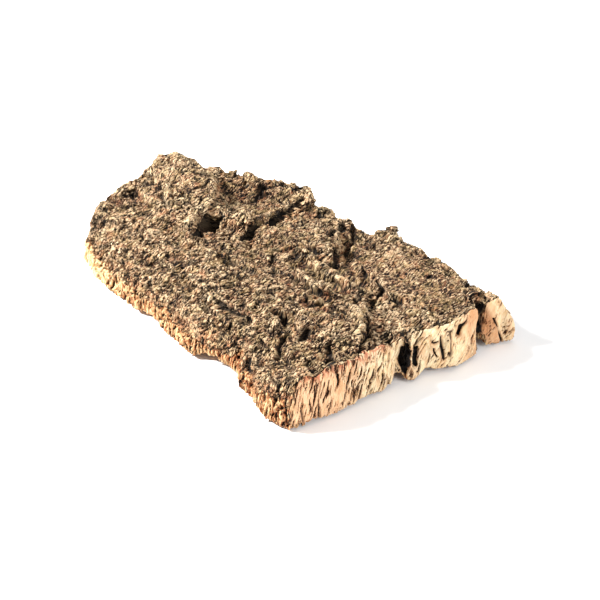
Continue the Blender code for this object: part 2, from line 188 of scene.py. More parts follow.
# Crevices of the outer bark: points along each in plan, half width and depth
CREVICES = (
    (((-50, -17), (-58, -7), (-56, 1)), 5.0, 4.2),
    (((-47, -21), (-36, -35), (-33, -41)), 1.6, 2.5),
    (((-30, 16), (-29, 8), (-27, -1)), 2.2, 5.0),
    (((-27, 24), (-31, 32), (-33, 38)), 2.6, 5.0),
    (((-33, 38), (-34, 46), (-37, 58)), 1.8, 3.0),
    (((-77, 49), (-73, 57), (-62, 62)), 2.2, 3.5),
    (((-77, 53), (-72, 41)), 3.2, 4.0),
    (((-57, 53), (-54, 58), (-49, 57), (-52, 52), (-57, 53)), 1.2, 1.8),
    (((-54, 65), (-47, 64)), 2.0, 3.0),
    (((9, 58), (15, 42)), 3.2, 5.0),
    (((15, 42), (21, 31)), 1.6, 2.5),
    (((12, 64), (24, 55), (31, 42)), 2.4, 4.0),
    (((38, 31), (43, 24)), 3.2, 5.0),
    (((8, 0), (16, -9)), 1.8, 3.5),
    (((-8, -27), (-1, -36)), 2.2, 3.0),
    (((50, 19), (61, 25), (69, 25)), 2.2, 3.5),
    (((59, 34), (64, 31)), 2.0, 3.0),
    (((78, 30), (84, 27), (86, 23), (98, 20)), 2.2, 4.0),
    (((101, 21), (108, 24)), 1.8, 3.0),
    (((101, 12), (108, 8), (119, 2)), 1.4, 2.0),
    (((111, 27), (118, 27), (124, 29), (130, 24)), 1.2, 1.8),
    (((121, 13), (123, 20)), 1.0, 1.8),
    (((103, 66), (100, 76)), 0.9, 1.8),
    (((17, 20), (35, 18), (52, 22), (66, 25)), 2.0, 3.0),
    (((46, 0), (54, 4), (63, 5)), 2.2, 3.2),
    (((29, -60), (44, -61), (57, -60)), 1.9, 3.0),
    (((98, -48), (99, -42)), 2.0, 3.5),
    (((98, -62), (91, -53)), 1.3, 3.0),
    (((72, -64), (72, -60)), 1.6, 2.5),
    (((-131, -12), (-122, -12)), 1.4, 2.2),
    (((-131, -27), (-125, -26)), 1.6, 2.2),
    (((-130, 4), (-130, 9)), 1.4, 2.2),
    (((-118, 9), (-111, 9)), 1.6, 2.4),
    (((-95, -6), (-89, -9), (-83, -8)), 1.9, 2.4),
    (((-84, 8), (-80, 7)), 1.4, 2.4),
    (((-84, 27), (-73, 22)), 1.8, 3.0),
    (((103, 0), (111, -5), (121, -14), (132, -29)), 1.5, 3.0),
    (((72, -42), (83, -47)), 2.2, 4.0),
    (((98, -43), (100, -50)), 2.6, 4.0),
    (((92, -56), (99, -64)), 2.0, 4.0),
    (((118, -43), (127, -48), (133, -53)), 2.8, 4.0),
    (((96, -62), (104, -70)), 2.2, 3.5),
    (((73, -25), (72, -20), (77, -14)), 1.8, 3.0),
    (((107, 8), (107, 16), (108, 25)), 1.3, 2.0),
    (((122, 11), (121, 20), (124, 23)), 1.3, 2.0),
    (((126, 46), (130, 54), (128, 64)), 1.8, 1.5),
    (((-107, -18), (-99, -20), (-84, -24), (-77, -21)), 1.5, 2.5),
    (((-95, -13), (-88, -17), (-83, -20)), 1.3, 2.0),
    (((-118, 15), (-112, 18), (-116, 24)), 1.8, 3.0),
)
# Broad furrows between the ribs of the outer bark: points along each in plan, half width and depth
FURROWS = (
    (((20, 9), (28, 5), (34, 4)), 6.0, 2.6),
    (((37, 17), (43, 20), (55, 22), (68, 26)), 4.5, 3.4),
    (((44, 1), (52, 5), (60, 7), (70, 6), (76, 3)), 3.2, 3.0),
    (((46, -14), (54, -13), (65, -12), (76, -9)), 3.0, 2.4),
    (((70, -25), (75, -24), (78, -18)), 4.0, 3.0),
    (((74, -42), (80, -44), (86, -41)), 3.6, 3.0),
)
# Thin raised edges of old plates: points along each in plan, half width and height
LIPS = (
    (((65, -22), (66, -15), (69, -12), (76, -13)), 2.0, 2.4),
    (((70, -39), (77, -35), (83, -34), (88, -31)), 1.6, 2.0),
    (((88, -3), (95, -2), (105, -8), (116, -15), (126, -26), (131, -35)), 2.2, 2.2),
    (((98, 12), (96, 17), (100, 22), (107, 27)), 1.5, 1.4),
    (((110, 31), (119, 33), (127, 29), (132, 20), (133, 10)), 1.6, 1.5),
    (((-108, -8), (-100, -14), (-92, -10)), 1.4, 1.2),
    (((-98, -15), (-90, -18)), 6.0, 1.4),
    (((-50, -30), (-60, -21), (-68, -11), (-68, -3)), 4.0, 1.8),
    (((-139, -18), (-136, -6)), 1.6, 1.0),
    (((-114, -35), (-119, -20)), 2.0, 1.2),
    (((38, -5), (48, -5), (58, -6), (69, -4)), 3.2, 3.2),
    (((34, 10), (48, 10), (60, 12), (74, 12)), 3.2, 3.0),
    (((30, -65), (44, -67), (53, -65)), 2.4, 1.8),
    (((102, -60), (108, -63)), 3.0, 1.2),
)
# Fissures of the cut end: points along each as y and z, half width and depth
FISSURES = (
    (((-76, 12), (-74, 2)), 1.2, 1.6),
    (((-66, 25), (-67, 18)), 0.6, 2.0),
    (((-62, 26), (-64, 16), (-64, 6)), 0.7, 2.4),
    (((-64, 9), (-64, 4)), 1.1, 2.4),
    (((-58, 22), (-59, 18)), 0.7, 1.6),
    (((-56, 14), (-58, 7)), 0.8, 2.4),
    (((-49, 26), (-50, 20), (-52, 17)), 0.7, 2.4),
    (((-39, 23), (-40, 17), (-43, 12), (-48, 7)), 0.7, 2.6),
    (((-45, 11), (-47, 8)), 0.6, 2.0),
    (((-36, 9), (-37, 8)), 0.9, 2.4),
    (((-31, 22), (-33, 12)), 0.7, 2.0),
    (((-24, 21), (-26, 14), (-26, 8)), 0.7, 2.6),
    (((-16, 21), (-18, 18), (-19, 16)), 0.7, 2.4),
    (((-7, 23), (-10, 17), (-11, 10), (-13, 6)), 0.8, 2.6),
    (((-16, 14), (-16, 10)), 0.8, 2.4),
    (((6, 21), (5, 14), (3, 7)), 1.5, 3.2),
    (((17, 26), (12, 22), (11, 18)), 1.1, 1.5),
    (((13, 20), (11, 10)), 1.5, 3.5),
    (((21, 14), (20, 9)), 0.6, 1.5),
    (((22, 22), (26, 22)), 0.9, 2.4),
    (((23, 18), (25, 12)), 0.7, 2.4),
    (((28, 25), (28, 16), (28, 10)), 1.0, 2.6),
    (((40, 28), (32, 28), (33, 22), (32, 12)), 1.3, 1.6),
    (((48, 30), (43, 28), (41, 23)), 1.3, 3.2),
    (((53, 14), (50, 8)), 0.7, 1.5),
    (((68, 29), (66, 22)), 3.6, 3.0),
    (((66, 22), (65, 14), (62, 3)), 4.4, 3.0),
    (((74, 21), (81, 2)), 0.9, 2.4),
    (((86, 12), (84, 9)), 0.8, 2.4),
)
# The stain along a fissure reaches this many times its half width
STAIN_REACH = 2.0
# A line's mark is at its full strength within this share of its half width
LINE_CORE = 0.35
# Lines wander by up to this reach, in waves of this size, and those of the cut end by this share of it
WAVE_SIZE, WAVE_REACH = 4.5, 1.6
END_WAVE_SHARE = 0.4


def line_distance(plan, points):
    """Each point's distance in plan from the line through these points."""
    nearest = np.full(len(plan), np.inf)
    for start, end in zip(points, points[1:]):
        way = np.subtract(end, start).astype(float)
        along = np.clip((plan - start) @ way / (way @ way), 0, 1)
        nearest = np.minimum(nearest, np.linalg.norm(plan - start - along[:, None] * way, axis=1))
    return nearest


def line_marks(plan, lines, flare=1.0):
    """How strong the strongest of these lines is at each point, with each line this many times as wide."""
    strength = np.zeros(len(plan))
    for points, half_width, reach in lines:
        width = half_width * flare
        mark = reach * ramp(line_distance(plan, points), width, LINE_CORE * width)
        strength = np.maximum(strength, mark)
    return strength


# Where the outer bark is calmer, and where it has larger lumps: centre, half length and half width
CALM_PLACES = ((113, 17, 17, 14), (84, 46, 52, 26))
LUMPY_PLACES = ((-98, 8, 46, 50),)
# Stretches that are paler or darker than the rest: centre, half length, half width and change of tone.
# The darkest, in the hollow beside the lumpy thick end, is partly its own darker tone and partly painted
# shadow.
TINTED_AND_SHADED_PLACES = (
    # Partly painted shadow in the hollow beside the lumpy thick end
    (-84, 44, 28, 18, -0.26),
    (-100, -66, 30, 16, 0.06),
    (118, 60, 26, 14, -0.09),
    (113, 16, 16, 13, 0.16),
    (0, -68, 55, 14, 0.07),
    (-105, -2, 34, 28, -0.09),
)
# A stretch starts and is full at these shares of the way from its centre to its edge
PATCH_EDGE, TINT_AND_SHADE_EDGE = (1.15, 0.8), (1.25, 0.6)


def oval_reach(place, oval):
    """Each point's distance from an oval's centre, as a share of the way to its edge."""
    x, y, along, across = oval
    return np.hypot((place[:, 0] - x) / along, (place[:, 1] - y) / across)


def patch_at(place, patches):
    """1 inside these oval stretches of the outer bark, and 0 outside them."""
    share = np.zeros(len(place))
    for oval in patches:
        share = np.maximum(share, ramp(oval_reach(place, oval), *PATCH_EDGE))
    return share


def tint_and_shade_at(place):
    """How much paler or darker each point is than the rest of the outer bark, partly by painted shadow in one
    hollow.
    """
    tint_and_shade = np.zeros(len(place))
    for *oval, change in TINTED_AND_SHADED_PLACES:
        tint_and_shade += change * ramp(oval_reach(place, oval), *TINT_AND_SHADE_EDGE)
    return tint_and_shade


# A face begins to be the cut end's where it turns this much to +X, at these places along y, and wholly is
# after this much more. The cut end and its fissures begin between these places along x.
CUT_TURN, TURN_CHANGE = ((-78, -60), (0.7, 0.35)), 0.25
CUT_START, FISSURE_START = (112, 122), (112, 120)
# A face is the underside's where it turns down by this much, and takes crevices where it turns up by this
UNDER_TURN, UPPER_TURN = (0.7, 0.9), (-0.3, 0.1)
# The outer bark's thickness on the sides, at these places along x, and on the cut end
CORK_DEPTHS = ((-140, -20, 70, 140), (14.0, 9.0, 9.0, 13.0))
CORK_DEPTH_CUT = 2.0
# The sides are cork below these heights, at these places along x
CORK_HEIGHTS = ((-140, -40, 60, 120), (18.0, 14.0, 11.0, 14.0))
# Cork shows this far in from the outline: from none to all
CORK_RIM = (11, 8)
# How ragged the outer bark's lower edge is, the size of its waves, how much it is calmer on the cut end and
# wilder low on the sides, and the height over which it changes to cork
CORK_RAG, RAG_SIZE = 2.0, 5.0
CUT_CALM, FOOT_RAG = 0.6, 1.5
CHANGE = 3.0
# The line where the two pieces of outer bark meet wanders by this much, in waves of this size
MEETING_RAG, MEETING_RAG_SIZE = 5.0, 12.0


def mark_layers(mesh, place, facing):
    """Keeps where the cut end and the underside are, and each point's depth. Gives the share of cork."""
    roof, rim = plan_values(place)
    depth = roof - place[:, 2]
    turned = np.interp(place[:, 1], *CUT_TURN)
    cut = ramp(facing[:, 0], turned, turned + TURN_CHANGE) * ramp(place[:, 0], *CUT_START)
    limit = np.interp(place[:, 0], *CORK_DEPTHS)
    limit = limit * (1 - cut) + CORK_DEPTH_CUT * cut
    rag = CORK_RAG * smooth_noise(place, RAG_SIZE, 1)
    limit = limit + rag * (1 - CUT_CALM * cut)
    cork = ramp(depth, limit - CHANGE / 2, limit + CHANGE / 2) * ramp(rim, *CORK_RIM)
    foot = np.interp(place[:, 0], *CORK_HEIGHTS) + FOOT_RAG * rag
    set_values(mesh, "cut", cut)
    set_values(mesh, "under", ramp(-facing[:, 2], *UNDER_TURN))
    set_values(mesh, "depth", depth)
    return np.maximum(cork, ramp(place[:, 2], foot + CHANGE / 2, foot - CHANGE / 2))


def mark_pieces(mesh, place, cork):
    """Keeps for each piece how far it is drawn back under its neighbours: 0 where it shows, and up to 1."""
    line = place[:, 0] + MEETING_RAG * smooth_noise(place, MEETING_RAG_SIZE, 4) - MEETING
    left = ramp(line, MEETING_WIDTH / 2, -MEETING_WIDTH / 2)
    shown = {
        THICK_END: np.minimum(1 - cork, left),
        CUT_END: np.minimum(1 - cork, 1 - left),
        CORK: cork,
    }
    for name, share in shown.items():
        set_values(mesh, name, ramp(1 - share, 0.5, 1.0))


def mark_patches(mesh, place):
    """Keeps where the outer bark is calm or lumpy, how much paler or darker it is, partly by painted shadow,
    and how far it stands over what is round it.
    """
    set_values(mesh, "calm", patch_at(place, CALM_PLACES))
    set_values(mesh, "lumpy", patch_at(place, LUMPY_PLACES))
    set_values(mesh, "tint_and_shade", tint_and_shade_at(place))
    set_values(mesh, "proud", place[:, 2] - blurred_height(place, BLUR_ROUNDS))
    set_values(mesh, "broad", place[:, 2] - blurred_height(place, BROAD_BLUR_ROUNDS))


def mark_lines(mesh, place, facing):
    """Keeps how strong the crevices, lips, furrows and fissures are at each point."""
    waves = np.array([WAVE_REACH * smooth_noise(place, WAVE_SIZE, seed) for seed in (2, 3)]).T
    plan = place[:, :2] + waves
    upper = ramp(facing[:, 2], *UPPER_TURN)
    for name, lines in (("dig", CREVICES), ("rise", LIPS), ("furrow", FURROWS)):
        set_values(mesh, name, line_marks(plan, lines) * upper)
    end = place[:, 1:] + END_WAVE_SHARE * waves
    near_end = ramp(place[:, 0], *FISSURE_START)
    for name, flare in (("fissure", 1.0), ("stain", STAIN_REACH)):
        set_values(mesh, name, line_marks(end, FISSURES, flare) * near_end)


def mark_zones(mesh):
    """Keeps on the skin where each layer, each kind of surface and each line lies."""
    place = vertex_vectors(mesh.vertices, "co") / MM
    normal = vertex_vectors(mesh.vertex_normals, "vector")
    facing = blurred(normal, mesh, FACING_ROUNDS)
    set_values(mesh, "place", place)
    set_values(mesh, "out", normal)
    cork = mark_layers(mesh, place, facing)
    mark_pieces(mesh, place, cork)
    mark_patches(mesh, place)
    mark_lines(mesh, place, facing)


class Field:
    """One output of a node tree, which can be worked with as a number or a vector."""

    def __init__(self, tree, socket, vector=False):
        self.tree, self.socket, self.vector = tree, socket, vector

    def __add__(self, other):
        return worked(self.tree, "ADD", self, other)

    def __sub__(self, other):
        return worked(self.tree, "SUBTRACT", self, other)

    def __rsub__(self, other):
        return worked(self.tree, "SUBTRACT", other, self)

    def __mul__(self, other):
        return worked(self.tree, "MULTIPLY", self, other)

    __radd__ = __add__
    __rmul__ = __mul__

    def size(self):
        """The value without its sign."""
        return worked(self.tree, "ABSOLUTE", self)

    def past_step(self):
        """How far the value is past the whole number below it."""
        return self - worked(self.tree, "FLOOR", self)

    def part(self, axis):
        """One of a vector's three numbers."""
        node = self.tree.nodes.new("ShaderNodeSeparateXYZ")
        plug(self.tree, node.inputs[0], self)
        return Field(self.tree, node.outputs[axis])

    def dot(self, other):
        """The length of this vector along another, times the other's length."""
        return Field(self.tree, worked(self.tree, "DOT_PRODUCT", self, other).socket.node.outputs["Value"])

    def step(self, start, end, low=0.0, high=1.0):
        """From low at the start to high at the end, with a smooth change between them."""
        node = self.tree.nodes.new("ShaderNodeMapRange")
        node.interpolation_type = "SMOOTHSTEP"
        values = {"Value": self, "From Min": start, "From Max": end, "To Min": low, "To Max": high}
        for name, value in values.items():
            plug(self.tree, node.inputs[name], value)
        return Field(self.tree, node.outputs[0])


def plug(tree, socket, value):
    """Feeds a socket from a field, or sets its plain value."""
    if isinstance(value, Field):
        tree.links.new(value.socket, socket)
    elif socket.type == "VECTOR" and not hasattr(value, "__len__"):
        socket.default_value = (value, value, value)
    else:
        socket.default_value = value


def worked(tree, operation, *values):
    """A sum, product or other operation on fields and plain values."""
    vector = any(getattr(value, "vector", False) or hasattr(value, "__len__") for value in values)
    node = tree.nodes.new("ShaderNodeVectorMath" if vector else "ShaderNodeMath")
    node.operation = operation
    for socket, value in zip(node.inputs, values):
        plug(tree, socket, value)
    return Field(tree, node.outputs[0], vector)


def mixed(factor, first, second):
    """The first number where the factor is 0, and the second where it is 1."""
    return first + (second - first) * factor


def greater(first, second):
    """The greater of two numbers."""
    return worked(first.tree, "MAXIMUM", first, second)


def swirl(place, size, detail=2.0):
    """Smooth noise from 0 to 1 with swells of this size along x, y and z."""
    node = place.tree.nodes.new("ShaderNodeTexNoise")
    plug(place.tree, node.inputs["Vector"], place * tuple(1 / s for s in size))
    node.inputs["Scale"].default_value = 1
    node.inputs["Detail"].default_value = detail
    return Field(place.tree, node.outputs["Fac"])


def drift(place, size, reach):
    """The place moved about by up to this reach, in swells of this size."""
    node = place.tree.nodes.new("ShaderNodeTexNoise")
    plug(place.tree, node.inputs["Vector"], place * (1 / size))
    node.inputs["Scale"].default_value = 1
    node.inputs["Detail"].default_value = 1
    moved = Field(place.tree, node.outputs["Color"], vector=True) - 0.5
    return place + moved * (2 * reach)


class Cells:
    """Cells of this size along x, y and z, round scattered points."""

    def __init__(self, place, size):
        self.tree = place.tree
        self.scaled = place * tuple(1 / s for s in size)
        self.centres = None

    def texture(self, feature):
        node = self.tree.nodes.new("ShaderNodeTexVoronoi")
        node.feature = feature
        plug(self.tree, node.inputs["Vector"], self.scaled)
        node.inputs["Scale"].default_value = 1
        return node

    def centre_texture(self):
        if self.centres is None:
            self.centres = self.texture("F1")
        return self.centres

    def wall(self):
        """The distance to the nearest wall between cells: 0 at it, and up to about 0.5."""
        return Field(self.tree, self.texture("DISTANCE_TO_EDGE").outputs["Distance"])

    def chance(self):
        """Three random numbers of each cell, from 0 to 1."""
        return Field(self.tree, self.centre_texture().outputs["Color"], vector=True)

    def tilt(self):
        """A slope across each cell in a direction of its own, from about -0.3 to 0.3."""
        centre = Field(self.tree, self.centre_texture().outputs["Position"], vector=True)
        return (self.scaled - centre).dot(self.chance() - 0.5)


def named(tree, name, vector=False):
    """The values that a mesh keeps under this name."""
    if tree.type == "GEOMETRY":
        node = tree.nodes.new("GeometryNodeInputNamedAttribute")
        node.data_type = "FLOAT_VECTOR" if vector else "FLOAT"
        node.inputs["Name"].default_value = name
        return Field(tree, next(s for s in node.outputs if s.enabled), vector)
    node = tree.nodes.new("ShaderNodeAttribute")
    node.attribute_name = name
    return Field(tree, node.outputs["Vector" if vector else "Fac"], vector)


# The outer bark: sizes along x, y and z of its swells, lumps, chunks, flakes, gaps, bars, slits, grit and
# dashes, of the patches that are calmer or busier, and of its pale, olive and rusty blotches
SWELL_SIZE, SWELL_HEIGHT = (24.0, 14.0, 15.0), 9.0
LUMP_SIZE = (7.0, 9.0, 9.0)
CHUNK_SIZE = (19.0, 14.0, 14.0)
FLAKE_SIZE, FLAKE_LEVELS = (3.0, 9.0, 9.0), 5.0
GAP_SIZE = (3.6, 9.0, 9.0)
BAR_SIZE = (1.7, 6.0, 6.0)
SLOT_SIZE = (0.7, 2.6, 2.6)
GRIT_SIZE = (0.5, 1.2, 1.2)
DASH_SIZE = (2.2, 7.0, 7.0)
CALM_SIZE, BUSY_SIZE = (15.0, 11.0, 11.0), (8.0, 11.0, 11.0)
BLOTCH_SIZE, OLIVE_SIZE = (30.0, 24.0, 24.0), (5.0, 9.0, 9.0)
RUST_SIZE, LOW_RUST_SIZE = (8.0, 8.0, 8.0), (9.0, 7.0, 7.0)
# Its small and its large features bend in swells of this size, by up to this reach
BEND, WIDE_BEND = (7.0, 1.0), (14.0, 3.0)
# Thickness of the worn layers, whose broken edges run round the swells like contour lines, and of the flakes
LAYER, FLAKE = 1.9, 0.8
# How much of a swell and of a layer's step the relief has
SWELL_SHARE, LAYER_SHARE = 0.5, 0.7
# How far chunks stand out by chance and by their tilt, their share on plain and on lumpy bark, and how far
# lumps stand out on each
CHUNK_RISE, CHUNK_TILT, CHUNK_SHARES = 1.6, 6.5, (0.4, 1.0)
LUMP_RISES = (1.8, 1.1)
# How deep gaps, cracks, the feet of flakes and slits are, and how high bars and what lies between slits are
GAP_DEPTH, CRACK_DEPTH, FLAKE_FOOT_DEPTH, SLIT_DEPTH = 1.8, 1.6, 0.4, 0.5
BAR_HEIGHT, SLOT_HEIGHT = 1.3, 0.8
FURROW_SHARE = 0.8
# No relief of the outer bark goes deeper than this, so the cork drawn back under it stays hidden
DEEPEST = 3.0
# How much of the relief, of its fine part and of the shade under flakes calm bark has
CALM_RELIEF, CALM_FINE, CALM_SHADE = 0.5, 0.6, 0.45
# The noise from which slits and gaps are open on plain and on busy bark, and what it takes more on calm bark
SLOT_START, GAP_START = (0.59, 0.535, 0.02), (0.67, 0.59, 0.06)
# How much further the noise rises until they are fully open
SLOT_CHANGE, GAP_CHANGE = 0.03, 0.04
# Half widths of the dashes, from dark to none, on plain and on lumpy bark
DASH_CORE, DASH_WIDTHS = 0.012, (0.03, 0.05)


class Crust:
    """The features of the outer bark. Each reads its noise at a spot of its own, so that none line up."""

    def __init__(self, place):
        tree = place.tree
        bent = drift(place, *BEND)
        wide = drift(place, *WIDE_BEND)
        patches = swirl(wide + 70.0, CALM_SIZE, detail=1.0).step(0.5, 0.58)
        self.lumpy = named(tree, "lumpy")
        self.chunks = Cells(wide, CHUNK_SIZE)
        plates = self.chunks.chance().part(2).step(0.3, 0.4) * self.lumpy
        smooth = greater(plates, named(tree, "rise").step(0.6, 1.6) * 0.5)
        self.calm = greater(named(tree, "calm"), greater(patches * 0.35, smooth))
        self.swell = (swirl(wide, SWELL_SIZE, detail=1.0) - 0.5) * SWELL_HEIGHT
        self.tread = ((self.swell + named(tree, "proud") * 0.6) * (1 / LAYER)).past_step()
        self.flake_tread = (swirl(bent, FLAKE_SIZE, detail=1.0) * FLAKE_LEVELS).past_step()
        self.lumps = swirl(bent, LUMP_SIZE, detail=1.0)
        self.gaps = swirl(bent + 30.0, GAP_SIZE)
        self.bars = swirl(bent + 50.0, BAR_SIZE, detail=1.0)
        self.slots = swirl(bent + 25.0, SLOT_SIZE)
        self.grit = swirl(place, GRIT_SIZE, detail=1.0)
        self.level = named(tree, "out", vector=True).part(2).step(0.2, 0.85, 0.45, 1.0)
        self.busy = swirl(bent + 15.0, BUSY_SIZE, detail=1.0).step(0.4, 0.58)
        dash = (swirl(bent + 90.0, DASH_SIZE) - 0.5).size()
        width = mixed(self.lumpy, *DASH_WIDTHS)
        self.dash = dash.step(DASH_CORE, width, 1.0, 0.0) * self.gaps.step(0.48, 0.53)

    def damped(self, share):
        """1, and only this share where the bark is calm."""
        return mixed(self.calm, 1.0, share)

    def opened(self, gaps, start, change):
        """1 where the noise is high enough for an opening at this place."""
        plain, busy, calm = start
        least = mixed(self.busy, plain, busy) + self.calm * calm
        return gaps.step(least, least + change)

    def foot(self):
        """1 in the undercut at the foot of each layer's edge."""
        undercut = self.tread.step(0.5, 0.72) * self.tread.step(0.74, 0.9, 1.0, 0.0)
        return undercut * self.damped(CALM_RELIEF)

    def lip(self):
        """1 along the top of each layer's edge."""
        return greater(self.tread.step(0.88, 0.97), self.tread.step(0.0, 0.22, 1.0, 0.0))

    def flake_foot(self):
        """1 in the shade under each flake's edge, which is broken off in places."""
        return self.flake_tread.step(0.7, 0.86) * self.gaps.step(0.42, 0.5) * self.damped(CALM_SHADE)

    def flake_lip(self):
        """1 along each flake's edge."""
        return self.flake_tread.step(0.0, 0.3, 1.0, 0.0)

    def slotted(self):
        """1 in the short slits."""
        return self.opened(self.slots, SLOT_START, SLOT_CHANGE)

    def gaping(self):
        """1 in the wider gaps between flakes."""
        return self.opened(self.gaps, GAP_START, GAP_CHANGE)

    def cracked(self):
        """1 in the cracks between the chunks."""
        plain_cracks = self.gaps.step(0.42, 0.5) * (1 - named(self.calm.tree, "calm"))
        lumpy_cracks = self.lumpy * self.gaps.step(0.38, 0.48)
        return self.chunks.wall().step(0.0, 0.04, 1.0, 0.0) * greater(plain_cracks * 0.8, lumpy_cracks)

    def relief(self):
        """How far the outer bark stands out, in mm."""
        tree = self.calm.tree
        steps = self.tread.step(0.72, 0.94) - self.tread - self.foot() * 0.35
        height = self.swell * SWELL_SHARE + steps * LAYER * LAYER_SHARE
        height = height * self.damped(CALM_RELIEF) * self.level
        chunks = (self.chunks.chance().part(0) - 0.5) * CHUNK_RISE + self.chunks.tilt() * CHUNK_TILT
        height = height + chunks * mixed(self.lumpy, *CHUNK_SHARES) * self.damped(CALM_RELIEF)
        height = height + (self.lumps - 0.5) * mixed(self.lumpy, *LUMP_RISES)
        height = height - self.gaping() * GAP_DEPTH - self.cracked() * CRACK_DEPTH
        fine = self.flake_tread * FLAKE + self.flake_foot() * FLAKE_FOOT_DEPTH
        fine = fine + self.slotted() * SLIT_DEPTH
        fine = fine + (self.bars - 0.5) * BAR_HEIGHT + (self.slots - 0.5) * SLOT_HEIGHT
        height = height - fine * self.damped(CALM_FINE) + named(tree, "rise")
        return greater(height - named(tree, "furrow") * FURROW_SHARE, -DEEPEST)


# The rough sides: sizes of their upright stubs, thin dark or rusty lines, grains and broad swells
STUB_SIZE, STUB_HEIGHT = (1.5, 1.5, 10.0), 4.0
SIDE_LINE_SIZE = (1.1, 1.1, 8.0)
SIDE_GRAIN_SIZE, SIDE_TONE_SIZE = (0.9, 0.9, 4.0), (0.7, 0.7, 4.5)
SIDE_SWELL_SIZE, SIDE_SWELL_HEIGHT = (6.0, 6.0, 9.0), 4.0
# The gaps between stubs are this much deeper
STUB_GAP_DEPTH = 2.0


def side_rods(place):
    """The upright strokes of the rough sides, from 0 in the gaps to 1 on the stubs."""
    return swirl(drift(place, 4.0, 1.0), STUB_SIZE)


def side_relief(place):
    """How far the stubs on the rough sides stand out, in mm."""
    rods = side_rods(place)
    height = (rods - 0.5) * STUB_HEIGHT - rods.step(0.4, 0.47, STUB_GAP_DEPTH, 0.0)
    height = height + (swirl(place, SIDE_SWELL_SIZE) - 0.5) * SIDE_SWELL_HEIGHT
    return height + (swirl(place, SIDE_GRAIN_SIZE) - 0.5)


# The cut end: sizes of its long and short pore channels and of the grain between them
SLIT_SIZE = (2.6, 1.5, 26.0)
SHORT_SLIT_SIZE = (1.6, 0.9, 9.0)
CHANNEL_GRAIN_SIZE = (0.8, 0.8, 6.0)
CHANNEL_DEPTH, GRAIN_HEIGHT, FISSURE_SHARE = 1.2, 0.6, 0.6
# The channels' lean along y for each mm up, from here to there along y, and the size and reach of their bends
LEANS, CHANNEL_BEND = (-30.0, 40.0, 0.32, 0.7), (9.0, 0.9)
# From here to there along y the channels are sparser, the long and the short ones by this much
SPARSE_START, LONG_SPARSE, SHORT_SPARSE = (0.0, 25.0), 0.05, 0.06


def leaning(place):
    """Places on the cut end, sheared so that the pore channels lean over towards the raised horn."""
    y, z = place.part(1), place.part(2)
    lean = y.step(*LEANS)
    node = place.tree.nodes.new("ShaderNodeCombineXYZ")
    for socket, value in zip(node.inputs, (place.part(0), y - z * lean, z)):
        plug(place.tree, socket, value)
    return drift(Field(place.tree, node.outputs[0], vector=True), *CHANNEL_BEND)


class CutEnd:
    """The pore channels of the cut end, for places in a node tree."""

    def __init__(self, place):
        bent = leaning(place)
        self.sparse = place.part(1).step(*SPARSE_START)
        self.long = swirl(bent, SLIT_SIZE, detail=1.5) - self.sparse * LONG_SPARSE
        self.short = swirl(bent + 20.0, SHORT_SLIT_SIZE, detail=1.0) - self.sparse * SHORT_SPARSE
        self.fine = swirl(bent, CHANNEL_GRAIN_SIZE)

    def open(self):
        """1 in a channel and 0 in the cork between them."""
        return greater(self.long.step(0.6, 0.63), self.short.step(0.6, 0.64))

    def stained(self):
        """1 in and close to a channel."""
        return greater(self.long.step(0.54, 0.6), self.short.step(0.56, 0.62))

    def relief(self):
        """How far the cut end stands out, in mm."""
        grain = (self.fine - 0.5) * GRAIN_HEIGHT
        height = self.open() * -CHANNEL_DEPTH - (self.long - 0.5) * GRAIN_HEIGHT + grain
        return height - named(self.sparse.tree, "fissure") * FISSURE_SHARE


# The underside: sizes of its growth lines and of its shallow pits, which have low walls between them
GROWTH_SIZE, GROWTH_HEIGHT = (18.0, 2.2, 2.2), 1.2
PIT_SIZE, PIT_WALL = (7.0, 4.0, 4.0), 0.3


def under_relief(place):
    """How far the growth lines of the underside stand out, in mm."""
    pits = Cells(drift(place, 5.0, 1.0), PIT_SIZE)
    height = (swirl(place, GROWTH_SIZE) - 0.5) * GROWTH_HEIGHT
    return height - pits.wall().step(0.0, 0.12, PIT_WALL, 0.0)


# At a crevice the cork goes in this many times as deep as the outer bark
CREVICE_SHARE = 1.4
# No point lies below this corner, which is far out in plan and on the ground
GROUND_CORNER = (-1.0, -1.0, 0.0)


def relief_tree(name):
    """Moves a skin's points out by the relief of its layer, and keeps them over the ground."""
    tree = bpy.data.node_groups.new(name, "GeometryNodeTree")
    for way in ("INPUT", "OUTPUT"):
        tree.interface.new_socket("Skin", in_out=way, socket_type="NodeSocketGeometry")
    place, sunk, dig = named(tree, "place", vector=True), named(tree, name), named(tree, "dig")
    if name == CORK:
        height = mixed(named(tree, "cut"), side_relief(place), CutEnd(place).relief())
        height = mixed(named(tree, "under"), height, under_relief(place))
        dig = dig * CREVICE_SHARE
    else:
        height = Crust(place).relief()
    height = height * (1 - sunk) - sunk * SINK - dig
    moved = (place + named(tree, "out", vector=True) * height) * MM
    moved = worked(tree, "MAXIMUM", moved, GROUND_CORNER)
    source, result = tree.nodes.new("NodeGroupInput"), tree.nodes.new("NodeGroupOutput")
    move = tree.nodes.new("GeometryNodeSetPosition")
    tree.links.new(source.outputs[0], move.inputs["Geometry"])
    tree.links.new(moved.socket, move.inputs["Position"])
    tree.links.new(move.outputs[0], result.inputs[0])
    return tree


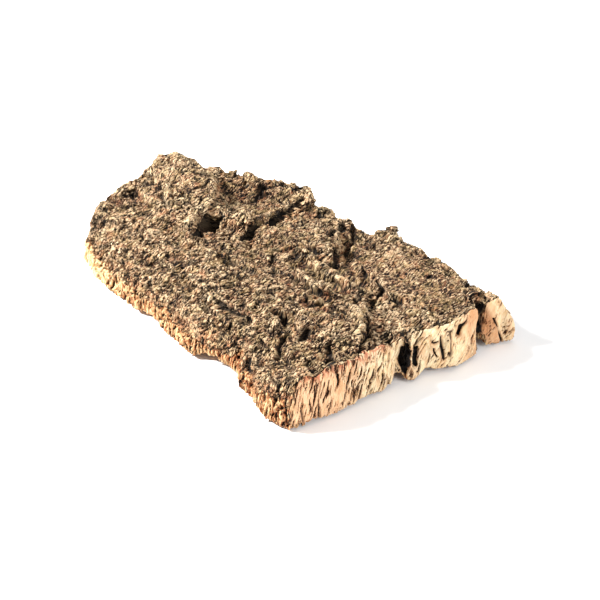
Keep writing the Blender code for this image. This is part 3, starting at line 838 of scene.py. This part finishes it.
def finished_piece(skin, name, material):
    """The skin with one piece's relief, drawn back under its neighbours, in few enough faces."""
    obj = placed(skin.copy(), name)
    relief = obj.modifiers.new("relief", "NODES")
    relief.node_group = relief_tree(name)
    mesh = solidified(obj, name)
    obj = placed(mesh, name)
    fewer = obj.modifiers.new("fewer", "DECIMATE")
    fewer.ratio = MOST_TRIANGLES / sum(len(face.vertices) - 2 for face in mesh.polygons)
    fewer.use_collapse_triangulate = True
    obj = placed(solidified(obj, name), name)
    obj.name = name
    obj.data.materials.clear()
    obj.data.materials.append(material)
    obj.data.shade_flat()
    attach(obj, "root")
    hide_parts(NODE)


def colour(red, green, blue):
    """A colour given in the steps of a screen, from 0 to 255, as light."""
    parts = [c / 255 for c in (red, green, blue)]
    return tuple(c / 12.92 if c <= 0.04045 else ((c + 0.055) / 1.055) ** 2.4 for c in parts) + (1.0,)


def through(field, stops):
    """Colours that follow a field: pairs of a value and the colour there."""
    node = field.tree.nodes.new("ShaderNodeValToRGB")
    plug(field.tree, node.inputs[0], field)
    elements = node.color_ramp.elements
    while len(elements) < len(stops):
        elements.new(1.0)
    for element, (position, shade) in zip(elements, stops):
        element.position = position
        element.color = shade
    return Field(field.tree, node.outputs[0])


def blended(factor, first, second):
    """The first colour where the factor is 0, and the second where it is 1."""
    tree = factor.tree
    node = tree.nodes.new("ShaderNodeMix")
    node.data_type = "RGBA"
    for index, value in ((0, factor), (6, first), (7, second)):
        plug(tree, node.inputs[index], value)
    return Field(tree, node.outputs[2])


DARK = colour(15, 9, 5)
CREVICE = colour(62, 41, 28)
MID_BROWN = colour(135, 99, 72)
TAN = colour(180, 146, 108)
PALE = colour(218, 191, 154)
OLIVE = colour(157, 135, 87)
RUST = colour(157, 89, 52)
CREAM = colour(219, 189, 142)
WARM_CREAM = colour(227, 207, 171)
STREAK = colour(52, 24, 15)
STAIN = colour(162, 100, 61)
ORANGE = colour(190, 126, 80)
PEACH = colour(216, 160, 118)
RED_BROWN = colour(172, 88, 58)
STUB_TAN = colour(183, 141, 96)
INNER_BROWN, INNER_TAN = colour(107, 69, 43), colour(157, 112, 73)

# Colours of the outer bark, of the sides, of the cut end and of the underside, by how pale each place is
CRUST_SHADES = ((0.0, DARK), (0.14, CREVICE), (0.42, MID_BROWN), (0.66, TAN), (0.92, PALE))
SIDE_SHADES = ((0.0, STREAK), (0.22, STAIN), (0.4, STUB_TAN), (0.72, CREAM))
END_SHADES = ((0.27, STUB_TAN), (0.39, CREAM), (0.56, WARM_CREAM))
UNDER_SHADES = ((0.3, INNER_BROWN), (0.6, INNER_TAN))

# The outer bark's tone, from 0, black, to 1, the palest: its start, and how much each feature adds to it.
# The paler lips of layers, flakes and raised edges are painted highlight, and the darker bars, slits and
# furrows are painted shade.
# Two values are for plain bark and for busy or lumpy bark.
TONE_START = 0.625
GRIT_TONE, LUMP_TONE, CHUNK_TONE = (0.26, 0.42), (0.7, 0.45), (0.08, 0.3)
BAR_SHADE, SLOT_SHADE, BLOTCH_TONE = -0.5, -0.7, 0.7
FLAKE_LIP_HIGHLIGHT, LIP_HIGHLIGHT, RISE_HIGHLIGHT, FURROW_SHADE = 0.14, 0.12, 0.09, -0.07
CALM_TONE, LUMPY_TONE, STEEP_TONE, LOW_TONE = -0.1, 0.11, 0.1, 0.07
# What the deepest small and broad hollows and the highest small and broad mounds add, by their heights:
# painted shade in the hollows and painted light on the mounds
HOLLOW_SHADE_AND_MOUND_LIGHT = (("proud", -5.0, 4.0, -0.22, 0.08), ("broad", -8.0, 8.0, -0.14, 0.08))


def crust_tone(place, crust, grit, low):
    """How pale the outer bark is, from about 0 to 1."""
    tree = place.tree
    tone = TONE_START + grit * mixed(crust.busy, *GRIT_TONE)
    tone = tone + (crust.lumps - 0.5) * mixed(crust.lumpy, *LUMP_TONE)
    tone = tone + (crust.chunks.chance().part(1) - 0.4) * mixed(crust.lumpy, *CHUNK_TONE)
    # Painted shade: darker where the bars and slits sink the surface
    tone = tone + (crust.bars - 0.5) * BAR_SHADE + (crust.slots.step(0.36, 0.58) - 0.5) * SLOT_SHADE
    tone = tone + (swirl(place, BLOTCH_SIZE) - 0.5) * BLOTCH_TONE
    # Painted shade in the hollows and painted light on the mounds
    for name, *change in HOLLOW_SHADE_AND_MOUND_LIGHT:
        tone = tone + named(tree, name).step(*change) * (1 - low)
    steep = named(tree, "out", vector=True).part(2).step(0.95, 0.6)
    # Painted highlight on the lips of layers and flakes and on raised edges, and painted shade in the furrows
    shares = (
        (crust.flake_lip(), FLAKE_LIP_HIGHLIGHT),
        (crust.lip(), LIP_HIGHLIGHT),
        (crust.lumpy, LUMPY_TONE),
        (named(tree, "rise"), RISE_HIGHLIGHT),
        (named(tree, "furrow"), FURROW_SHADE),
        (named(tree, "calm"), CALM_TONE),
        (steep, STEEP_TONE),
        (low, LOW_TONE),
    )
    for feature, share in shares:
        tone = tone + feature * share
    # Paler and darker stretches, partly painted shadow in one hollow
    return tone + named(tree, "tint_and_shade")


def crust_shadow(tree, crust):
    """Painted shade: 1 in the cracks, gaps, slits, dashes, undercuts and crevices of the outer bark, and
    where a piece drawn back under another shows.
    """
    cracks = greater(greater(crust.slotted(), crust.gaping()), greater(crust.foot() * 0.7, crust.cracked()))
    deep_shade = greater(named(tree, "dig").step(0.8, 3.0, 0.0, 0.94), named(tree, "fissure").step(0.6, 1.9))
    cracks = greater(greater(cracks, crust.flake_foot()), greater(crust.dash, deep_shade))
    hidden = named(tree, THICK_END) + named(tree, CUT_END) - 1.0
    return greater(cracks * 0.98, greater(hidden, 0.0))


def crust_colour(tree):
    """The colour of the outer bark, and the height of its finest grain."""
    place = named(tree, "place", vector=True)
    crust = Crust(place)
    grit = crust.grit.step(0.36, 0.64) - 0.5
    low = greater(named(tree, "depth").step(2.0, 9.0), place.part(2).step(28.0, 14.0))
    shade = through(crust_tone(place, crust, grit, low), CRUST_SHADES)
    shade = blended(swirl(place + 60.0, OLIVE_SIZE).step(0.48, 0.6) * 0.35, shade, OLIVE)
    shade = blended(low * 0.4, shade, STUB_TAN)
    rust = swirl(place, RUST_SIZE).step(0.54, 0.66) * crust.grit.step(0.35, 0.6)
    low_rust = low * swirl(place + 15.0, LOW_RUST_SIZE).step(0.42, 0.56) * crust.bars.step(0.36, 0.52)
    shade = blended(greater(rust * 0.5, low_rust * 0.62), shade, RUST)
    grain = grit * 0.2 - crust.slotted() * 0.6 - (crust.slots - 0.5) * 2.2
    # The painted shade turns the outer bark nearly black
    return blended(crust_shadow(tree, crust), shade, DARK), grain


# The sides grow pale towards the left end, from here to there along x, and from here to there down z
PALE_END, PALE_FOOT = (-50.0, -100.0), (19.0, 11.0)
# How their strokes and their fine grain change the tone, what their depth under the top gives it, and how
# much darker they are towards the cut end and near the ground
ROD_TONE, SIDE_GRAIN_TONE, PALE_TONE = 1.8, 1.6, 0.5
DEPTH_TONE = (6.0, 30.0, 0.38, 0.7)
DARK_END, DARK_END_TONE, DARK_FOOT, DARK_FOOT_TONE = (20.0, 70.0), 0.16, (7.0, 1.0), 0.25


def side_colour(place, depth):
    """The colour of the rough sides: pale and smooth low at the left end, and streaked elsewhere."""
    rods = side_rods(place)
    pale_end = place.part(0).step(*PALE_END) * place.part(2).step(*PALE_FOOT)
    lines = swirl(drift(place, 5.0, 1.0) + 40.0, SIDE_LINE_SIZE, detail=1.0)
    # The strokes' tone follows the stubs' relief: paler on the stubs and darker in the gaps, partly their own
    # colour and partly painted light and shade
    tone = (rods - 0.5) * ROD_TONE + (swirl(place, SIDE_TONE_SIZE) - 0.5) * SIDE_GRAIN_TONE
    tone = tone + depth.step(*DEPTH_TONE) + pale_end * PALE_TONE
    foot = place.part(2).step(*DARK_FOOT) * mixed(pale_end, DARK_FOOT_TONE, 0.0)
    tone = tone - place.part(0).step(*DARK_END) * DARK_END_TONE - foot
    side = through(tone, SIDE_SHADES)
    side = blended(lines.step(0.55, 0.63) * mixed(pale_end, 0.55, 0.1), side, RUST)
    # Painted shade in the gaps between the stubs, together with the thin dark lines
    gaps = greater(rods.step(0.42, 0.47, 0.97, 0.0), lines.step(0.38, 0.34))
    return blended(gaps * mixed(pale_end, 1.0, 0.5), side, DARK)


# Sizes of the cut end's broad shades, orange patches and reddish marks
END_SHADE_SIZE, ORANGE_SIZE, RED_SIZE = (12.0, 12.0, 12.0), (6.0, 4.0, 12.0), (3.0, 2.0, 5.0)
# Orange cork starts here along y and ends at a leaning fissure, whose y falls by this much for each mm up
ORANGE_START, LEANING_FISSURE, LEAN = (40.0, 52.0), (80.0, 83.0), 0.38
# It is stronger between these heights, and from here on along y
ORANGE_TOP, LOBE_START, ORANGE_SHARE = (16.0, 26.0), (62.0, 66.0), 0.65
# Peach cork grows in from here to there along y, and so does a reddish band at these depths under the top
PEACH_START, RED_START, RED_DEPTH = (-20.0, -60.0), (0.0, -15.0), (9.0, 3.0)
# Sizes of the underside's streaks and of the cork's finest grain
UNDER_STREAK_SIZE, CORK_GRAIN_SIZE = (14.0, 2.0, 2.0), (0.8, 0.8, 3.0)


def end_colour(place, depth):
    """The colour of the cut end: cream cork, warmer in places, with dark channels, and painted shade in its
    fissures.
    """
    tree = place.tree
    y, z = place.part(1), place.part(2)
    end = CutEnd(place)
    face = through(end.fine * 0.7 + swirl(place, END_SHADE_SIZE) * 0.3, END_SHADES)
    before_fissure = (y + z * LEAN).step(*LEANING_FISSURE, 1.0, 0.25)
    high = greater(z.step(*ORANGE_TOP, 0.3, ORANGE_SHARE), y.step(*LOBE_START, 0.0, ORANGE_SHARE))
    face = blended(y.step(*ORANGE_START) * before_fissure * high, face, ORANGE)
    face = blended(swirl(place, ORANGE_SIZE).step(0.46, 0.62) * 0.34, face, ORANGE)
    face = blended(y.step(*PEACH_START) * 0.55, face, PEACH)
    band = depth.step(*RED_DEPTH) * y.step(*RED_START) * swirl(place, RED_SIZE).step(0.4, 0.58)
    face = blended(band * 0.75, face, RED_BROWN)
    stained = named(tree, "stain").step(0.2, 2.2) * end.fine.step(0.35, 0.6)
    face = blended(greater(end.stained() * 0.42, stained * 0.5), face, STAIN)
    # Dark pore channels, which are the cork's own colour, and painted shade in the fissures
    channels_and_fissure_shade = greater(end.open(), named(tree, "fissure").step(0.6, 1.9))
    return blended(channels_and_fissure_shade * 0.95, face, STREAK)


def cork_colour(tree):
    """The colour of the sides, the cut end and the underside, and the height of their finest grain."""
    place = named(tree, "place", vector=True)
    depth = named(tree, "depth")
    shade = blended(named(tree, "cut"), side_colour(place, depth), end_colour(place, depth))
    # Painted shade in crevices and fissures, and where cork drawn back under the outer bark shows through
    deep_shade = greater(named(tree, "dig").step(0.5, 1.5), named(tree, "fissure").step(1.0, 2.4))
    shade = blended(greater(deep_shade, named(tree, CORK).step(0.03, 0.3)), shade, DARK)
    lower = through(swirl(place, UNDER_STREAK_SIZE), UNDER_SHADES)
    return blended(named(tree, "under"), shade, lower), swirl(place, CORK_GRAIN_SIZE) * 0.8


def bark_material(name, paint):
    """A dry, rough material with this colour and fine grain."""
    material = bpy.data.materials.new(name)
    material.use_nodes = True
    tree = material.node_tree
    shader = tree.nodes["Principled BSDF"]
    shade, grain = paint(tree)
    plug(tree, shader.inputs["Base Color"], shade)
    bump = tree.nodes.new("ShaderNodeBump")
    bump.inputs["Distance"].default_value = MM
    plug(tree, bump.inputs["Height"], grain)
    tree.links.new(bump.outputs[0], shader.inputs["Normal"])
    shader.inputs["Roughness"].default_value = 0.9
    shader.inputs["Specular IOR Level"].default_value = 0.3
    return material


# The photograph's view: the point looked at, and the camera's direction in degrees, distance and lens
TARGET = Vector((46.09, -7.87, 20.25)) * MM
AZIMUTH, ELEVATION = 52.31, 30.25
DISTANCE, LENS, NEAREST = 0.81, 75.0, 0.01


def direction(azimuth, elevation):
    """The way out from the middle at this azimuth and elevation in degrees."""
    turn, rise = math.radians(azimuth), math.radians(elevation)
    return Vector((math.sin(turn) * math.cos(rise), -math.cos(turn) * math.cos(rise), math.sin(rise)))


def add_camera():
    back = direction(AZIMUTH, ELEVATION)
    camera = bpy.data.objects.new("camera", bpy.data.cameras.new("camera"))
    camera.data.lens = LENS
    camera.data.clip_start = NEAREST
    camera.location = TARGET + back * DISTANCE
    camera.rotation_euler = (-back).to_track_quat("-Z", "Y").to_euler()
    bpy.context.scene.collection.objects.link(camera)
    bpy.context.scene.camera = camera


# Lamps: azimuth and elevation of their direction in degrees, distance, size and power
LAMPS = {
    "key": (-40, 40, 1.3, 0.2, 50),
    "fill": (105, 25, 1.5, 0.9, 18),
    "top": (200, 75, 1.5, 1.2, 5),
}
SKY_COLOUR, SKY_STRENGTH = (1.0, 1.0, 1.0, 1.0), 0.4


def add_lights():
    for name, (azimuth, elevation, distance, size, power) in LAMPS.items():
        way = direction(azimuth, elevation)
        lamp = bpy.data.lights.new(name, "AREA")
        lamp.size = size
        lamp.energy = power
        obj = bpy.data.objects.new(name, lamp)
        obj.location = TARGET + way * distance
        obj.rotation_euler = way.to_track_quat("Z", "Y").to_euler()
        bpy.context.scene.collection.objects.link(obj)
    world = bpy.data.worlds.new("studio")
    world.use_nodes = True
    sky = world.node_tree.nodes["Background"]
    sky.inputs["Color"].default_value = SKY_COLOUR
    sky.inputs["Strength"].default_value = SKY_STRENGTH
    bpy.context.scene.world = world


FLOOR_REACH = 4.0
FLOOR_COLOUR = (0.95, 0.95, 0.95, 1.0)


def add_floor():
    mesh = bpy.data.meshes.new("floor")
    signs = ((-1, -1), (1, -1), (1, 1), (-1, 1))
    mesh.from_pydata([(x * FLOOR_REACH, y * FLOOR_REACH, 0) for x, y in signs], [], [(0, 1, 2, 3)])
    material = bpy.data.materials.new("floor")
    material.use_nodes = True
    shader = material.node_tree.nodes["Principled BSDF"]
    shader.inputs["Base Color"].default_value = FLOOR_COLOUR
    shader.inputs["Roughness"].default_value = 1.0
    mesh.materials.append(material)
    placed(mesh, "floor")


def main():
    add_camera()
    add_lights()
    add_floor()
    skin = fine_skin()
    mark_zones(skin)
    crust = bark_material("bark_crust", crust_colour)
    finished_piece(skin, THICK_END, crust)
    finished_piece(skin, CUT_END, crust)
    finished_piece(skin, CORK, bark_material("bark_cork", cork_colour))
    bpy.context.scene.view_settings.view_transform = "Standard"


main()
